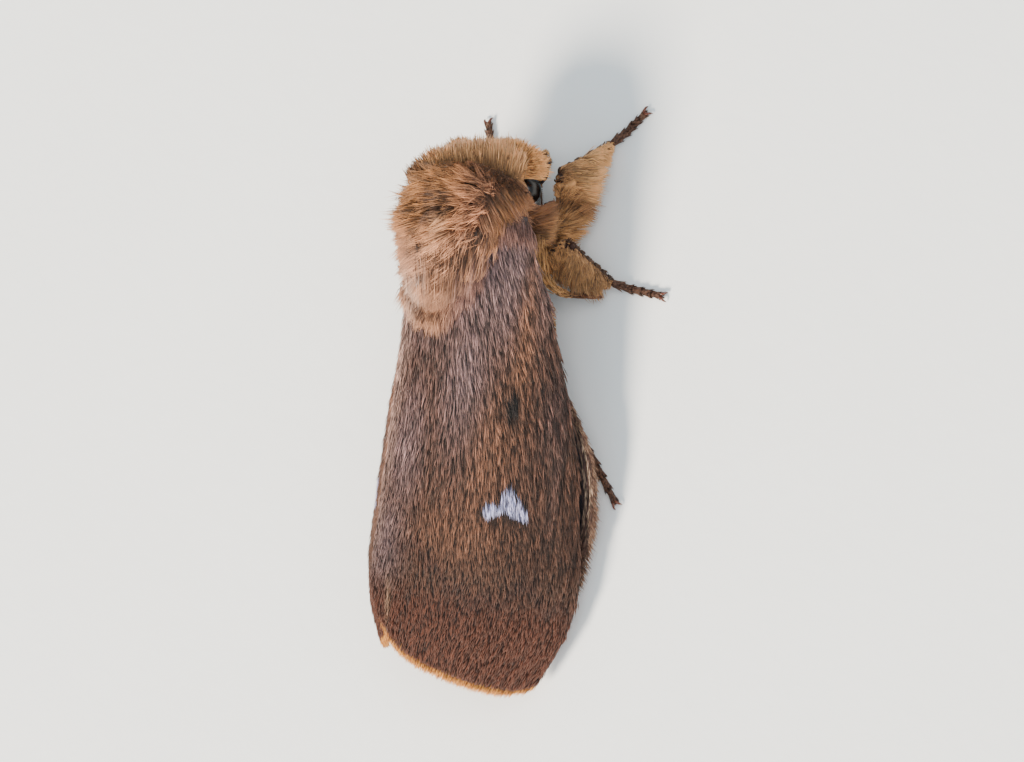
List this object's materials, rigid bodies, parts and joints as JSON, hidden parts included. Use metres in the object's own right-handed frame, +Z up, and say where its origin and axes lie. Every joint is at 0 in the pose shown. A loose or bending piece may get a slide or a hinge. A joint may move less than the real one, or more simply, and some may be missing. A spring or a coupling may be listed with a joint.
{
  "type": "moth",
  "caption": "Life-size still model of a stout furry brown moth at rest, wings folded in a rounded roof with a white spot, standing on its feet.",
  "frame": {"origin": "on the floor under the middle of the moth's bounding box", "axes": "+Y from head to wing tips, +X to the moth's own left, +Z up from the floor"},
  "size_m": [0.0166, 0.0304, 0.0089],
  "materials": {
    "coat": "long soft tan fur",
    "abdomen": "short orange-brown fur with dark bands",
    "forewing": "brown hair-like wing scales with a white spot",
    "hindwing": "paler brown wing scales",
    "leg": "long tan leg fur",
    "shell": "dark brown scaled shell",
    "eye": "glossy black faceted eye"
  },
  "bodies": {
    "root": {"head": "coat", "thorax": "coat", "abdomen": "abdomen", "eye_left": "eye", "eye_right": "eye", "antenna_left": "shell", "antenna_right": "shell", "palp_left": "coat", "palp_right": "coat", "forewing_left": "forewing", "forewing_right": "forewing", "hindwing_left": "hindwing", "hindwing_right": "hindwing", "femur_fore_left": "leg", "femur_fore_right": "leg", "femur_mid_left": "leg", "femur_mid_right": "leg", "femur_hind_left": "leg", "femur_hind_right": "leg", "tibia_fore_left": "leg", "tibia_fore_right": "leg", "tibia_mid_left": "leg", "tibia_mid_right": "leg", "tibia_hind_left": "leg", "tibia_hind_right": "leg", "tarsus_fore_left": "shell", "tarsus_fore_right": "shell", "tarsus_mid_left": "shell", "tarsus_mid_right": "shell", "tarsus_hind_left": "shell", "tarsus_hind_right": "shell"}
  },
  "joints": []
}
